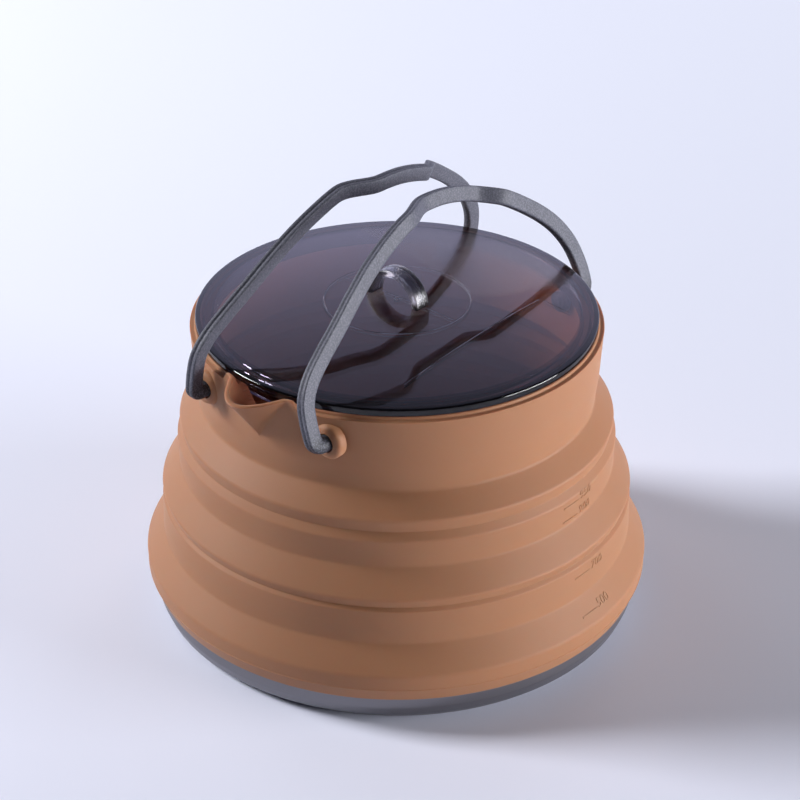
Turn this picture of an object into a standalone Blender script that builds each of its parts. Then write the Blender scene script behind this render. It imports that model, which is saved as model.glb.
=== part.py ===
"""Collapsible camping kettle: aluminium pan, folding silicone body, two bails and a clear lid.

Metres, +Z up. The origin is the centre of the pan's underside and the spout faces -Y.
"""
import math

import bmesh
import bpy
from mathutils import Matrix, Vector

# Faceting
TURNED_STEPS = 72
ROUND_STEPS = 24
SMOOTH_ANGLE = math.radians(35)

# Clearances
SEAM_GAP = 0.0003
PIN_CLEARANCE = 0.0005
CUT_OVERRUN = 0.004

# Base pan, pressed aluminium: the neck is what the silicone grips, the skirt steps out below it
PAN_THICKNESS = 0.0014
PAN_NECK_RADIUS = 0.0772
PAN_NECK_RISE = 0.0061
PAN_SKIRT_STEP = 0.0014
PAN_SKIRT_LEAN = 0.0004
PAN_SKIRT_HEIGHT = 0.0099
PAN_SKIRT_START = 0.0062
PAN_CORNER_SETBACK = 0.0018
PAN_CORNER_RISE = 0.0027
PAN_FOOT_SETBACK = 0.0026
PAN_FOOT_RISE = 0.0004
PAN_FLAT_SETBACK = 0.0017
PAN_INSIDE_CORNER = 0.0045

# Silicone walls
WALL = 0.0020
HINGE_WALL = 0.0014

# Base band, moulded round the pan's neck
BAND_FOOT_WALL = 0.0015
BAND_TOP_WALL = 0.0034
BAND_HEIGHT = 0.0045

# Lower tier: the shoulder that folds, then the wall above it
LOWER_SHOULDER_BULGE = 0.0001
LOWER_SHOULDER_RISE = 0.0052
LOWER_FOLD_HEIGHT = 0.0134
LOWER_RING_SETBACK = 0.0056
LOWER_RING_HEIGHT = 0.0125
LOWER_CREASE_INSET = 0.0013
LOWER_CREASE_DEPTH = 0.0028

# Middle tier
MIDDLE_SHOULDER_BULGE = 0.0008
MIDDLE_SHOULDER_RISE = 0.0031
MIDDLE_FOLD_HEIGHT = 0.0110
MIDDLE_RING_SETBACK = 0.0053
MIDDLE_RING_HEIGHT = 0.0115
MIDDLE_CREASE_INSET = 0.0016
MIDDLE_CREASE_DEPTH = 0.0024

# Upper tier and collar
UPPER_SHOULDER_BULGE = 0.0010
UPPER_SHOULDER_RISE = 0.0039
UPPER_FOLD_HEIGHT = 0.0109
COLLAR_FOOT_SETBACK = 0.0065
COLLAR_WAIST_FLARE = 0.0010
COLLAR_WAIST_RISE = 0.0082
COLLAR_RIM_FLARE = 0.0010
COLLAR_HEIGHT = 0.0270
COLLAR_WALL = 0.0021
RIM_LIP = 0.0010
RIM_ROUND = 0.0004
SEAT_DEPTH = 0.0024

# Spout, a beak drawn out of the collar
SPOUT_HALF_WIDTH = 0.0122
SPOUT_REACH = 0.0118
SPOUT_TIP_DROP = 0.0010
SPOUT_DEPTH = 0.0160
SPOUT_WALL = 0.0016
SPOUT_FLOOR_RISE = 0.0026
SPOUT_TAPER = 2.1
SPOUT_POINTS = 19
SPOUT_CUT_SHARE = 1.25

# Bail pivots and the rounded bosses about them
PIVOT_X = 0.0245
BOSS_RADIUS = 0.0055
BOSS_ROUND = 0.0018
BOSS_ROUND_STEPS = 4
BOSS_FACE_SETBACK = 0.0030
PIN_RADIUS = 0.0025
PIN_HEAD_RADIUS = 0.0036
PIN_HEAD_LENGTH = 0.0020
PIN_HEAD_GAP = 0.0004

# Bail strap: width across the arch's plane, depth in it
BAIL_WIDTH = 0.0030
BAIL_DEPTH = 0.0050
BAIL_EDGE = 0.0007
BAIL_GROOVE_DEPTH = 0.00055
BAIL_GROOVE_WIDTH = 0.0013
BAIL_SIDE_GAP = 0.0018
BAIL_BEND_RADIUS = 0.0030
BAIL_BEND_STEPS = 5
BAIL_TOP_HEIGHT = 0.0490
BAIL_GRIP_OFFSET = 0.0050
BAIL_STEPS = 56
LEFT_BAIL_LEAN = math.radians(8.0)
RIGHT_BAIL_LEAN = math.radians(16.5)

# The arch from the spout side to the rear: shares of the leg's reach and of the rise above the bend
BAIL_ARCH_SHARES = (
    (-1.000, 0.00), (-1.000, 0.12), (-0.985, 0.24), (-0.930, 0.345), (-0.840, 0.44),
    (-0.705, 0.56), (-0.560, 0.695), (-0.415, 0.815), (-0.265, 0.91), (-0.110, 0.98),
    (0.060, 1.00), (0.230, 0.985), (0.390, 0.93), (0.535, 0.845), (0.670, 0.73),
    (0.790, 0.605), (0.880, 0.485), (0.945, 0.36), (0.985, 0.24), (1.000, 0.12), (1.000, 0.00),
)
# Where the grip steps inward and out again, as shares of the leg's reach
GRIP_STEP_SHARES = (-0.12, 0.10, 0.44, 0.58)
# Part of a span over which the strap's direction is taken
DIRECTION_SHARE = 0.05

# Lid
LID_EDGE_HEIGHT = 0.0029
LID_EDGE_ROUND = 0.0010
LID_CROWN = 0.0038
LID_THICKNESS = 0.0022
LID_SKIRT_GAP = 0.0008
LID_SKIRT_WALL = 0.0022
LID_SKIRT_DEPTH = 0.0044
LID_DOME_POINTS = 9

# Finger loop on the lid
LOOP_OUTER_RADIUS = 0.0105
LOOP_INNER_RADIUS = 0.0080
LOOP_WIDTH = 0.0060
LOOP_EDGE = 0.0007
LOOP_STEPS = 20

# Radii, each set off from the piece below it
PAN_SKIRT_RADIUS = PAN_NECK_RADIUS + PAN_SKIRT_STEP
PAN_CORNER_RADIUS = PAN_SKIRT_RADIUS - PAN_CORNER_SETBACK
PAN_FOOT_RADIUS = PAN_CORNER_RADIUS - PAN_FOOT_SETBACK
PAN_FLAT_RADIUS = PAN_FOOT_RADIUS - PAN_FLAT_SETBACK
BAND_INSIDE_RADIUS = PAN_NECK_RADIUS + SEAM_GAP
BAND_FOOT_RADIUS = BAND_INSIDE_RADIUS + BAND_FOOT_WALL
BAND_RADIUS = BAND_INSIDE_RADIUS + BAND_TOP_WALL
LOWER_SHOULDER_RADIUS = BAND_RADIUS + LOWER_SHOULDER_BULGE
LOWER_RING_RADIUS = LOWER_SHOULDER_RADIUS - LOWER_RING_SETBACK
LOWER_CREASE_RADIUS = LOWER_RING_RADIUS - LOWER_CREASE_INSET
MIDDLE_SHOULDER_RADIUS = LOWER_CREASE_RADIUS + MIDDLE_SHOULDER_BULGE
MIDDLE_RING_RADIUS = MIDDLE_SHOULDER_RADIUS - MIDDLE_RING_SETBACK
MIDDLE_CREASE_RADIUS = MIDDLE_RING_RADIUS - MIDDLE_CREASE_INSET
UPPER_SHOULDER_RADIUS = MIDDLE_CREASE_RADIUS + UPPER_SHOULDER_BULGE
COLLAR_FOOT_RADIUS = UPPER_SHOULDER_RADIUS - COLLAR_FOOT_SETBACK
COLLAR_WAIST_RADIUS = COLLAR_FOOT_RADIUS + COLLAR_WAIST_FLARE
COLLAR_RIM_RADIUS = COLLAR_WAIST_RADIUS + COLLAR_RIM_FLARE
COLLAR_INSIDE_RADIUS = COLLAR_FOOT_RADIUS - COLLAR_WALL
LID_RADIUS = COLLAR_RIM_RADIUS - RIM_LIP - SEAM_GAP
LID_SKIRT_RADIUS = COLLAR_INSIDE_RADIUS - LID_SKIRT_GAP
BOSS_FACE_Y = COLLAR_RIM_RADIUS - BOSS_FACE_SETBACK
BAIL_LEG_Y = BOSS_FACE_Y + BAIL_SIDE_GAP + BAIL_DEPTH / 2

# Heights of the seams, from the pan upward
PAN_NECK_HEIGHT = PAN_SKIRT_HEIGHT + PAN_NECK_RISE
BAND_BOTTOM = PAN_SKIRT_HEIGHT + SEAM_GAP
LOWER_FOLD_BOTTOM = BAND_BOTTOM + BAND_HEIGHT
LOWER_RING_BOTTOM = LOWER_FOLD_BOTTOM + LOWER_FOLD_HEIGHT
MIDDLE_FOLD_BOTTOM = LOWER_RING_BOTTOM + LOWER_RING_HEIGHT
MIDDLE_RING_BOTTOM = MIDDLE_FOLD_BOTTOM + MIDDLE_FOLD_HEIGHT
UPPER_FOLD_BOTTOM = MIDDLE_RING_BOTTOM + MIDDLE_RING_HEIGHT
COLLAR_BOTTOM = UPPER_FOLD_BOTTOM + UPPER_FOLD_HEIGHT
RIM_Z = COLLAR_BOTTOM + COLLAR_HEIGHT
SEAT_Z = RIM_Z - SEAT_DEPTH
LID_BOTTOM = SEAT_Z + SEAM_GAP
LID_EDGE_TOP = LID_BOTTOM + LID_EDGE_HEIGHT
LID_CENTRE_Z = LID_EDGE_TOP + LID_CROWN
# The pins pass close under the lid's skirt
PIVOT_Z = LID_BOTTOM - LID_SKIRT_DEPTH - PIN_HEAD_GAP - PIN_HEAD_RADIUS

SILICONE = (0.62, 0.33, 0.18)
ALUMINIUM = (0.20, 0.22, 0.25)
NYLON = (0.17, 0.18, 0.20)
SMOKED_PLASTIC = (0.05, 0.05, 0.06)


def clear_scene():
    for item in list(bpy.data.objects):
        bpy.data.objects.remove(item, do_unlink=True)


def material(name, colour, roughness, metallic=0.0):
    mat = bpy.data.materials.new(name)
    mat.use_nodes = True
    shader = mat.node_tree.nodes["Principled BSDF"]
    shader.inputs["Base Color"].default_value = (*colour, 1.0)
    shader.inputs["Roughness"].default_value = roughness
    shader.inputs["Metallic"].default_value = metallic
    return mat


def add_object(name, mesh, mat=None):
    item = bpy.data.objects.new(name, mesh)
    bpy.context.scene.collection.objects.link(item)
    if mat:
        mesh.materials.append(mat)
    return item


def mesh_from(name, bm):
    """Closes a bmesh into a named mesh with outward faces and smooth round sides."""
    bmesh.ops.recalc_face_normals(bm, faces=bm.faces)
    mesh = bpy.data.meshes.new(name)
    bm.to_mesh(mesh)
    bm.free()
    mesh.shade_smooth()
    mesh.set_sharp_from_angle(angle=SMOOTH_ANGLE)
    return mesh


def turned(name, profile, steps=TURNED_STEPS):
    """Turns an outline of (radius, height) points about Z; it closes on itself or on the axis."""
    bm = bmesh.new()
    verts = [bm.verts.new((radius, 0.0, height)) for radius, height in profile]
    pairs = list(zip(verts, verts[1:]))
    on_axis = profile[0][0] == 0.0 and profile[-1][0] == 0.0
    if not on_axis:
        pairs.append((verts[-1], verts[0]))
    edges = [bm.edges.new(pair) for pair in pairs]
    bmesh.ops.spin(bm, geom=verts + edges, cent=(0, 0, 0), axis=(0, 0, 1),
                   angle=math.tau, steps=steps, use_merge=True)
    bmesh.ops.remove_doubles(bm, verts=bm.verts, dist=SEAM_GAP / 100)
    return mesh_from(name, bm)


def lofted(name, rings):
    """Skins equal-sized loops of points one after the other and caps both ends."""
    bm = bmesh.new()
    loops = [[bm.verts.new(point) for point in ring] for ring in rings]
    for lower, upper in zip(loops, loops[1:]):
        count = len(lower)
        for k in range(count):
            after = (k + 1) % count
            bm.faces.new((lower[k], lower[after], upper[after], upper[k]))
    bm.faces.new(loops[0])
    bm.faces.new(loops[-1])
    bmesh.ops.triangulate(bm, faces=[f for f in bm.faces if len(f.verts) > 4])
    return mesh_from(name, bm)


def as_cutter(item):
    item.hide_render = True
    item.display_type = "WIRE"
    return item


def boolean(item, tool, operation):
    step = item.modifiers.new(tool.name, "BOOLEAN")
    step.operation = operation
    step.solver = "EXACT"
    step.object = as_cutter(tool)


def place_along_y(mesh, x, y, end):
    """Lays a mesh turned about Z down at pivot height, its top end pointing to end * Y."""
    mesh.transform(Matrix.Rotation(-end * math.pi / 2, 4, "X"))
    mesh.transform(Matrix.Translation((x, y, PIVOT_Z)))


def base_pan(mat):
    floor_radius = PAN_NECK_RADIUS - PAN_THICKNESS - PAN_INSIDE_CORNER
    inside_radius = PAN_NECK_RADIUS - PAN_THICKNESS
    profile = [
        (0.0, 0.0),
        (PAN_FLAT_RADIUS, 0.0),
        (PAN_FOOT_RADIUS, PAN_FOOT_RISE),
        (PAN_CORNER_RADIUS, PAN_CORNER_RISE),
        (PAN_SKIRT_RADIUS - PAN_SKIRT_LEAN, PAN_SKIRT_START),
        (PAN_SKIRT_RADIUS, PAN_SKIRT_HEIGHT),
        (PAN_NECK_RADIUS, PAN_SKIRT_HEIGHT),
        (PAN_NECK_RADIUS, PAN_NECK_HEIGHT),
        (inside_radius, PAN_NECK_HEIGHT),
    ]
    for step in range(4):
        turn = step / 3 * math.pi / 2
        profile.append((floor_radius + PAN_INSIDE_CORNER * math.cos(turn),
                        PAN_THICKNESS + PAN_INSIDE_CORNER * (1 - math.sin(turn))))
    profile.append((0.0, PAN_THICKNESS))
    return add_object("base_pan", turned("base_pan", profile), mat)


def base_band(mat):
    bottom = BAND_BOTTOM
    top = LOWER_FOLD_BOTTOM - SEAM_GAP / 2
    profile = [
        (BAND_INSIDE_RADIUS, bottom),
        (BAND_FOOT_RADIUS, bottom),
        ((BAND_FOOT_RADIUS + BAND_RADIUS) / 2, bottom + BAND_HEIGHT / 3),
        (BAND_RADIUS, top),
        (BAND_INSIDE_RADIUS, top),
    ]
    return add_object("base_band", turned("base_band", profile), mat)


def fold(name, bottom, height, crease_radius, shoulder_radius, shoulder_rise, top_radius, mat):
    """A shoulder panel: it leans in from its outer edge and flips down when its tier folds."""
    low = bottom + SEAM_GAP / 2
    high = bottom + height - SEAM_GAP / 2
    profile = [
        (crease_radius - HINGE_WALL, low),
        (crease_radius, low),
        (shoulder_radius, bottom + shoulder_rise),
        (top_radius, high),
        (top_radius - WALL, high),
        (shoulder_radius - WALL, bottom + shoulder_rise),
    ]
    return add_object(name, turned(name, profile), mat)


def ring(name, bottom, height, radius, crease_radius, crease_depth, mat):
    """A stiff upright wall, with the groove of the next hinge cut under its top edge."""
    low = bottom + SEAM_GAP / 2
    high = bottom + height - SEAM_GAP / 2
    groove = bottom + height - crease_depth
    profile = [
        (radius - WALL, low),
        (radius, low),
        (radius, groove),
        (crease_radius, high),
        (crease_radius - HINGE_WALL, high),
        (radius - WALL, groove - crease_depth),
    ]
    return add_object(name, turned(name, profile), mat)


def spout_lip(half_width, reach, back_y, height_at):
    """The beak's lip from side to side, seen from above, as points (x, y, z)."""
    points = []
    for step in range(SPOUT_POINTS):
        turn = math.pi * step / (SPOUT_POINTS - 1)
        y = back_y - reach * math.sin(turn) ** SPOUT_TAPER
        points.append(Vector((-half_width * math.cos(turn), y, height_at(y))))
    return points


def beak(name, lip, inner_y, foot, grow):
    """A cone from the spout's foot up to its lip, closed behind and carried past it by grow."""
    lip = lip + [Vector((lip[-1].x, inner_y, lip[-1].z)), Vector((lip[0].x, inner_y, lip[0].z))]
    top = [foot + (point - foot) * grow for point in lip]
    bm = bmesh.new()
    tip = bm.verts.new(foot)
    rim = [bm.verts.new(point) for point in top]
    for first, second in zip(rim, rim[1:] + rim[:1]):
        bm.faces.new((tip, first, second))
    cap = bm.faces.new(rim)
    bmesh.ops.triangulate(bm, faces=[cap])
    return add_object(name, mesh_from(name, bm))


def collar(mat):
    low = COLLAR_BOTTOM + SEAM_GAP / 2
    outside = [
        (0.0, low),
        (COLLAR_FOOT_RADIUS, low),
        (COLLAR_WAIST_RADIUS, COLLAR_BOTTOM + COLLAR_WAIST_RISE),
        (COLLAR_RIM_RADIUS, SEAT_Z),
        (COLLAR_RIM_RADIUS, RIM_Z - RIM_ROUND),
        (COLLAR_RIM_RADIUS - RIM_ROUND, RIM_Z),
        (0.0, RIM_Z),
    ]
    body = add_object("collar", turned("collar", outside), mat)

    chord_y = -math.sqrt(COLLAR_RIM_RADIUS ** 2 - SPOUT_HALF_WIDTH ** 2)
    back_y = chord_y + RIM_LIP
    tip_y = chord_y - SPOUT_REACH
    inner_y = -(COLLAR_INSIDE_RADIUS - WALL)
    foot_z = RIM_Z - SPOUT_DEPTH
    up = (foot_z - COLLAR_BOTTOM - COLLAR_WAIST_RISE) / (SEAT_Z - COLLAR_BOTTOM - COLLAR_WAIST_RISE)
    foot_y = -(COLLAR_WAIST_RADIUS + (COLLAR_RIM_RADIUS - COLLAR_WAIST_RADIUS) * up)

    def lip_height(y):
        return RIM_Z + min(y - chord_y, 0.0) * SPOUT_TIP_DROP / SPOUT_REACH

    foot = Vector((0.0, foot_y + SEAM_GAP / 2, foot_z))
    lip = spout_lip(SPOUT_HALF_WIDTH, back_y - tip_y, back_y, lip_height)
    boolean(body, beak("spout_outside", lip, inner_y, foot, 1.0), "UNION")

    post_start = COLLAR_INSIDE_RADIUS / 2
    post_end = BOSS_FACE_Y - post_start
    post_profile = [(0.0, 0.0), (BOSS_RADIUS, 0.0)]
    for step in range(BOSS_ROUND_STEPS + 1):
        turn = math.pi / 2 * step / BOSS_ROUND_STEPS
        post_profile.append((BOSS_RADIUS - BOSS_ROUND * (1 - math.cos(turn)),
                             post_end - BOSS_ROUND * (1 - math.sin(turn))))
    post_profile.append((0.0, post_end))
    bore_radius = PIN_RADIUS + PIN_CLEARANCE
    bore_profile = [
        (0.0, 0.0), (bore_radius, 0.0), (bore_radius, post_end - PIN_CLEARANCE),
        (bore_radius + PIN_CLEARANCE, post_end), (bore_radius + PIN_CLEARANCE, post_end + CUT_OVERRUN),
        (0.0, post_end + CUT_OVERRUN),
    ]
    corners = [(side, end) for side in (-1, 1) for end in (-1, 1)]
    for side, end in corners:
        post = turned("boss", post_profile, ROUND_STEPS)
        place_along_y(post, side * PIVOT_X, end * post_start, end)
        boolean(body, add_object("boss", post), "UNION")

    cavity = turned("cavity", [
        (0.0, COLLAR_BOTTOM - CUT_OVERRUN),
        (COLLAR_INSIDE_RADIUS, COLLAR_BOTTOM - CUT_OVERRUN),
        (COLLAR_INSIDE_RADIUS, SEAT_Z),
        (COLLAR_RIM_RADIUS - RIM_LIP, SEAT_Z),
        (COLLAR_RIM_RADIUS - RIM_LIP, RIM_Z + CUT_OVERRUN),
        (0.0, RIM_Z + CUT_OVERRUN),
    ])
    boolean(body, add_object("cavity", cavity), "DIFFERENCE")

    floor_point = foot + Vector((0.0, SPOUT_WALL, SPOUT_FLOOR_RISE))
    nose = Vector((0.0, tip_y + SPOUT_WALL, lip_height(tip_y)))
    apex = floor_point + (floor_point - nose) * ((inner_y - floor_point.y) / (floor_point.y - nose.y))
    lip = spout_lip(SPOUT_HALF_WIDTH - SPOUT_WALL, back_y - tip_y - SPOUT_WALL, back_y, lip_height)
    boolean(body, beak("spout_channel", lip, inner_y, apex, SPOUT_CUT_SHARE), "DIFFERENCE")

    for side, end in corners:
        bore = turned("bore", bore_profile, ROUND_STEPS)
        place_along_y(bore, side * PIVOT_X, end * post_start, end)
        boolean(body, add_object("bore", bore), "DIFFERENCE")
    return body


def smoothstep(value):
    value = min(max(value, 0.0), 1.0)
    return value * value * (3 - 2 * value)


def spline_point(points, place):
    """A point of the curve through the given points, place counted in spans."""
    last = len(points) - 1
    span = min(int(place), last - 1)
    t = place - span
    p0 = points[max(span - 1, 0)]
    p1 = points[span]
    p2 = points[span + 1]
    p3 = points[min(span + 2, last)]
    bend = 2 * p0 - 5 * p1 + 4 * p2 - p3
    twist = 3 * p1 - p0 - 3 * p2 + p3
    return (2 * p1 + (p2 - p0) * t + bend * t ** 2 + twist * t ** 3) / 2


def bail_sections():
    """The strap's outline and the pin's, point for point: (outward in the plane, across it)."""
    depth = BAIL_DEPTH / 2
    width = BAIL_WIDTH / 2
    lip = BAIL_GROOVE_WIDTH / 2
    floor = depth - BAIL_GROOVE_DEPTH
    half = [(-depth, width - BAIL_EDGE), (-depth + BAIL_EDGE, width), (depth - BAIL_EDGE, width),
            (depth, width - BAIL_EDGE / 2), (depth, lip), (floor, lip / 2)]
    strap = half + [(n, -b) for n, b in reversed(half)]
    count = len(strap)
    pin = []
    for step in range(count):
        turn = math.tau * (step + 0.5) / count
        pin.append((-PIN_RADIUS * math.cos(turn), PIN_RADIUS * math.sin(turn)))
    return strap, pin


def bail_hook():
    """Stations of the spout-side hook, from the pin's head out to the foot of the leg.

    Each is (centre, direction, size of the pin, share of the strap's section).
    """
    far_x = PIVOT_X + PIN_HEAD_RADIUS
    head_y = -math.sqrt(COLLAR_INSIDE_RADIUS ** 2 - far_x ** 2) + PIN_CLEARANCE
    bend_y = -BAIL_LEG_Y + BAIL_BEND_RADIUS
    outward = Vector((0.0, -1.0, 0.0))
    head = PIN_HEAD_RADIUS / PIN_RADIUS
    stations = [
        (Vector((0.0, head_y + PIN_HEAD_LENGTH, 0.0)), outward, 1.0, 0.0),
        (Vector((0.0, head_y + PIN_HEAD_LENGTH / 2, 0.0)), outward, head, 0.0),
        (Vector((0.0, head_y, 0.0)), outward, head, 0.0),
        (Vector((0.0, head_y, 0.0)), outward, 1.0, 0.0),
    ]
    for step in range(BAIL_BEND_STEPS):
        turn = math.pi / 2 * step / BAIL_BEND_STEPS
        centre = Vector((0.0, bend_y - BAIL_BEND_RADIUS * math.sin(turn),
                         BAIL_BEND_RADIUS * (1 - math.cos(turn))))
        along = Vector((0.0, -math.cos(turn), math.sin(turn)))
        stations.append((centre, along, 1.0, step / BAIL_BEND_STEPS))
    return stations


def bail(name, side, lean, mat):
    """One grip half: a strap arched over the lid, hooked into its two bosses."""
    rise = BAIL_TOP_HEIGHT - BAIL_BEND_RADIUS
    points = [Vector((0.0, y * BAIL_LEG_Y, BAIL_BEND_RADIUS + h * rise))
              for y, h in BAIL_ARCH_SHARES]
    grip = [share * BAIL_LEG_Y for share in GRIP_STEP_SHARES]

    def centre(place):
        point = spline_point(points, place)
        stepped = smoothstep((point.y - grip[0]) / (grip[1] - grip[0]))
        stepped -= smoothstep((point.y - grip[2]) / (grip[3] - grip[2]))
        point.x = -side * BAIL_GRIP_OFFSET * stepped
        return point

    spans = len(points) - 1
    arch = []
    for step in range(BAIL_STEPS + 1):
        place = spans * step / BAIL_STEPS
        along = centre(min(place + DIRECTION_SHARE, spans)) - centre(max(place - DIRECTION_SHARE, 0.0))
        arch.append((centre(place), along.normalized(), 1.0, 1.0))
    hook = bail_hook()
    rear = [(Vector((0.0, -at.y, at.z)), Vector((0.0, along.y, -along.z)), size, share)
            for at, along, size, share in reversed(hook)]

    strap, pin = bail_sections()
    across = Vector((1.0, 0.0, 0.0))
    rings = []
    for at, along, size, share in hook + arch + rear:
        outward = across.cross(along).normalized()
        sideways = along.cross(outward).normalized()
        ring = []
        for (pin_n, pin_b), (strap_n, strap_b) in zip(pin, strap):
            n = size * pin_n * (1 - share) + strap_n * share
            b = size * pin_b * (1 - share) + strap_b * share
            ring.append(at + outward * n + sideways * b)
        rings.append(ring)
    item = add_object(name, lofted(name, rings), mat)
    item.location = (side * PIVOT_X, 0.0, PIVOT_Z)
    item.rotation_euler = (0.0, -side * lean, 0.0)
    return item


def dome_height(radius):
    dome_radius = LID_RADIUS - LID_EDGE_ROUND
    return LID_EDGE_TOP + LID_CROWN * (1 - (radius / dome_radius) ** 2)


def lid(mat):
    dome_radius = LID_RADIUS - LID_EDGE_ROUND
    middle = (LID_BOTTOM + LID_EDGE_TOP) / 2
    skirt_inside = LID_SKIRT_RADIUS - LID_SKIRT_WALL
    skirt_foot = LID_BOTTOM - LID_SKIRT_DEPTH
    top = []
    for step in range(LID_DOME_POINTS):
        radius = dome_radius * step / (LID_DOME_POINTS - 1)
        top.append((radius, dome_height(radius)))
    corner = LID_EDGE_ROUND * (1 - math.sqrt(0.5))
    edge = [
        (LID_RADIUS - corner, LID_EDGE_TOP - corner),
        (LID_RADIUS, middle),
        (LID_RADIUS - corner, LID_BOTTOM + corner),
        (dome_radius, LID_BOTTOM),
        (LID_SKIRT_RADIUS, LID_BOTTOM),
        (LID_SKIRT_RADIUS, skirt_foot),
        (skirt_inside, skirt_foot),
    ]
    under = []
    for step in range(LID_DOME_POINTS - 2, -1, -1):
        radius = skirt_inside * step / (LID_DOME_POINTS - 2)
        under.append((radius, dome_height(radius) - LID_THICKNESS))
    disc = add_object("lid", turned("lid", top + edge + under), mat)

    rings = []
    edge_cut = [(-LOOP_WIDTH / 2, LOOP_EDGE), (-LOOP_WIDTH / 2 + LOOP_EDGE, 0.0),
                (LOOP_WIDTH / 2 - LOOP_EDGE, 0.0), (LOOP_WIDTH / 2, LOOP_EDGE)]
    section = [(y, LOOP_OUTER_RADIUS - cut) for y, cut in edge_cut]
    section += [(y, LOOP_INNER_RADIUS + cut) for y, cut in reversed(edge_cut)]
    foot = Vector((0.0, 0.0, LID_CENTRE_Z - LID_THICKNESS / 4))
    sunk = LID_THICKNESS / 4
    for step in range(-1, LOOP_STEPS + 2):
        turn = math.pi * min(max(step, 0), LOOP_STEPS) / LOOP_STEPS
        below = sunk if step in (-1, LOOP_STEPS + 1) else 0.0
        rings.append([foot + Vector((radius * math.cos(turn), y, radius * math.sin(turn) - below))
                      for y, radius in section])
    loop = add_object("finger_loop", lofted("finger_loop", rings))
    boolean(disc, loop, "UNION")
    return disc


def build():
    clear_scene()
    silicone = material("silicone", SILICONE, 0.55)
    base_pan(material("anodised_aluminium", ALUMINIUM, 0.45, 0.8))
    base_band(silicone)
    fold("lower_fold", LOWER_FOLD_BOTTOM, LOWER_FOLD_HEIGHT, BAND_RADIUS,
         LOWER_SHOULDER_RADIUS, LOWER_SHOULDER_RISE, LOWER_RING_RADIUS, silicone)
    ring("lower_ring", LOWER_RING_BOTTOM, LOWER_RING_HEIGHT, LOWER_RING_RADIUS,
         LOWER_CREASE_RADIUS, LOWER_CREASE_DEPTH, silicone)
    fold("middle_fold", MIDDLE_FOLD_BOTTOM, MIDDLE_FOLD_HEIGHT, LOWER_CREASE_RADIUS,
         MIDDLE_SHOULDER_RADIUS, MIDDLE_SHOULDER_RISE, MIDDLE_RING_RADIUS, silicone)
    ring("middle_ring", MIDDLE_RING_BOTTOM, MIDDLE_RING_HEIGHT, MIDDLE_RING_RADIUS,
         MIDDLE_CREASE_RADIUS, MIDDLE_CREASE_DEPTH, silicone)
    fold("upper_fold", UPPER_FOLD_BOTTOM, UPPER_FOLD_HEIGHT, MIDDLE_CREASE_RADIUS,
         UPPER_SHOULDER_RADIUS, UPPER_SHOULDER_RISE, COLLAR_FOOT_RADIUS, silicone)
    collar(silicone)
    nylon = material("grey_nylon", NYLON, 0.5)
    bail("bail_left", -1, LEFT_BAIL_LEAN, nylon)
    bail("bail_right", 1, RIGHT_BAIL_LEAN, nylon)
    lid(material("smoked_plastic", SMOKED_PLASTIC, 0.08))


build()
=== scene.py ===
# %% [markdown]
# # A folding kettle: pan, silicone tiers, beak, two bails and a smoked lid
#
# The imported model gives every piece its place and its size. This lesson dresses it: each plain
# solid is replaced by a finer one that fills the same space, and each piece gets its own finish.
# Everything is in metres, but the sizes of a kettle read best in millimetres, so outlines are
# written in millimetres and turned into metres where they are drawn.

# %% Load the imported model
import bisect
import math

import bmesh
import bpy
from mathutils import Matrix, Vector


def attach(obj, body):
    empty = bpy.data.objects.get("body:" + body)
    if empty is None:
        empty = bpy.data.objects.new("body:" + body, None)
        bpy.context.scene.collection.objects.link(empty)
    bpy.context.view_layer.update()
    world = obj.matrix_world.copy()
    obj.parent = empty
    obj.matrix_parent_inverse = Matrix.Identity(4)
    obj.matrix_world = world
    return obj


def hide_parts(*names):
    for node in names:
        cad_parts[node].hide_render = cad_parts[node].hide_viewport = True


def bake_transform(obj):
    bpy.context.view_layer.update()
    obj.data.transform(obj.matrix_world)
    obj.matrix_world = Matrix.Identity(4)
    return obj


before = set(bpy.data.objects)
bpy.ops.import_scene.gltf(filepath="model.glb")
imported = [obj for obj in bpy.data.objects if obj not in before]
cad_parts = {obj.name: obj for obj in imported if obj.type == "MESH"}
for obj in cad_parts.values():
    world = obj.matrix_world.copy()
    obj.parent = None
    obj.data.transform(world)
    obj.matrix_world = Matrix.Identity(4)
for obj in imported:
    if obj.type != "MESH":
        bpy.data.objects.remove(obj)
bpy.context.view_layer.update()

MM = 0.001

# %% [markdown]
# ## The camera
#
# The photograph was taken from above the beak's right-hand side with a long lens. A camera can be
# placed by eye, or worked out from the ellipses that the lid, the creases and the pan make. The
# second way was used, because ellipses give the height of the eye within a fraction of a degree.
# The picture is square, and the kettle stands a little left of its middle.

# %% Camera
AZIMUTH = math.radians(40.0)
ELEVATION = math.radians(30.0)
CAMERA_DISTANCE = 0.778
AIM_HEIGHT = 68.88 * MM
LENS = 110.25
PICTURE_ROLL = math.radians(0.30)
SIDE_STEP = 1.016 * MM

to_camera = Vector((math.sin(AZIMUTH) * math.cos(ELEVATION),
                    -math.cos(AZIMUTH) * math.cos(ELEVATION), math.sin(ELEVATION)))
upright = to_camera.to_track_quat("Z", "Y").to_matrix()
picture_right = upright @ Vector((1, 0, 0))
eye = Vector((0, 0, AIM_HEIGHT)) + to_camera * CAMERA_DISTANCE + picture_right * SIDE_STEP
turned = upright @ Matrix.Rotation(PICTURE_ROLL, 3, "Z")
bpy.ops.object.camera_add(location=eye, rotation=turned.to_euler())
camera = bpy.context.object
camera.data.lens = LENS
camera.data.sensor_width = 36.0
camera.data.clip_start = 0.05
bpy.context.scene.camera = camera
print("camera", [round(v, 4) for v in camera.location])

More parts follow.
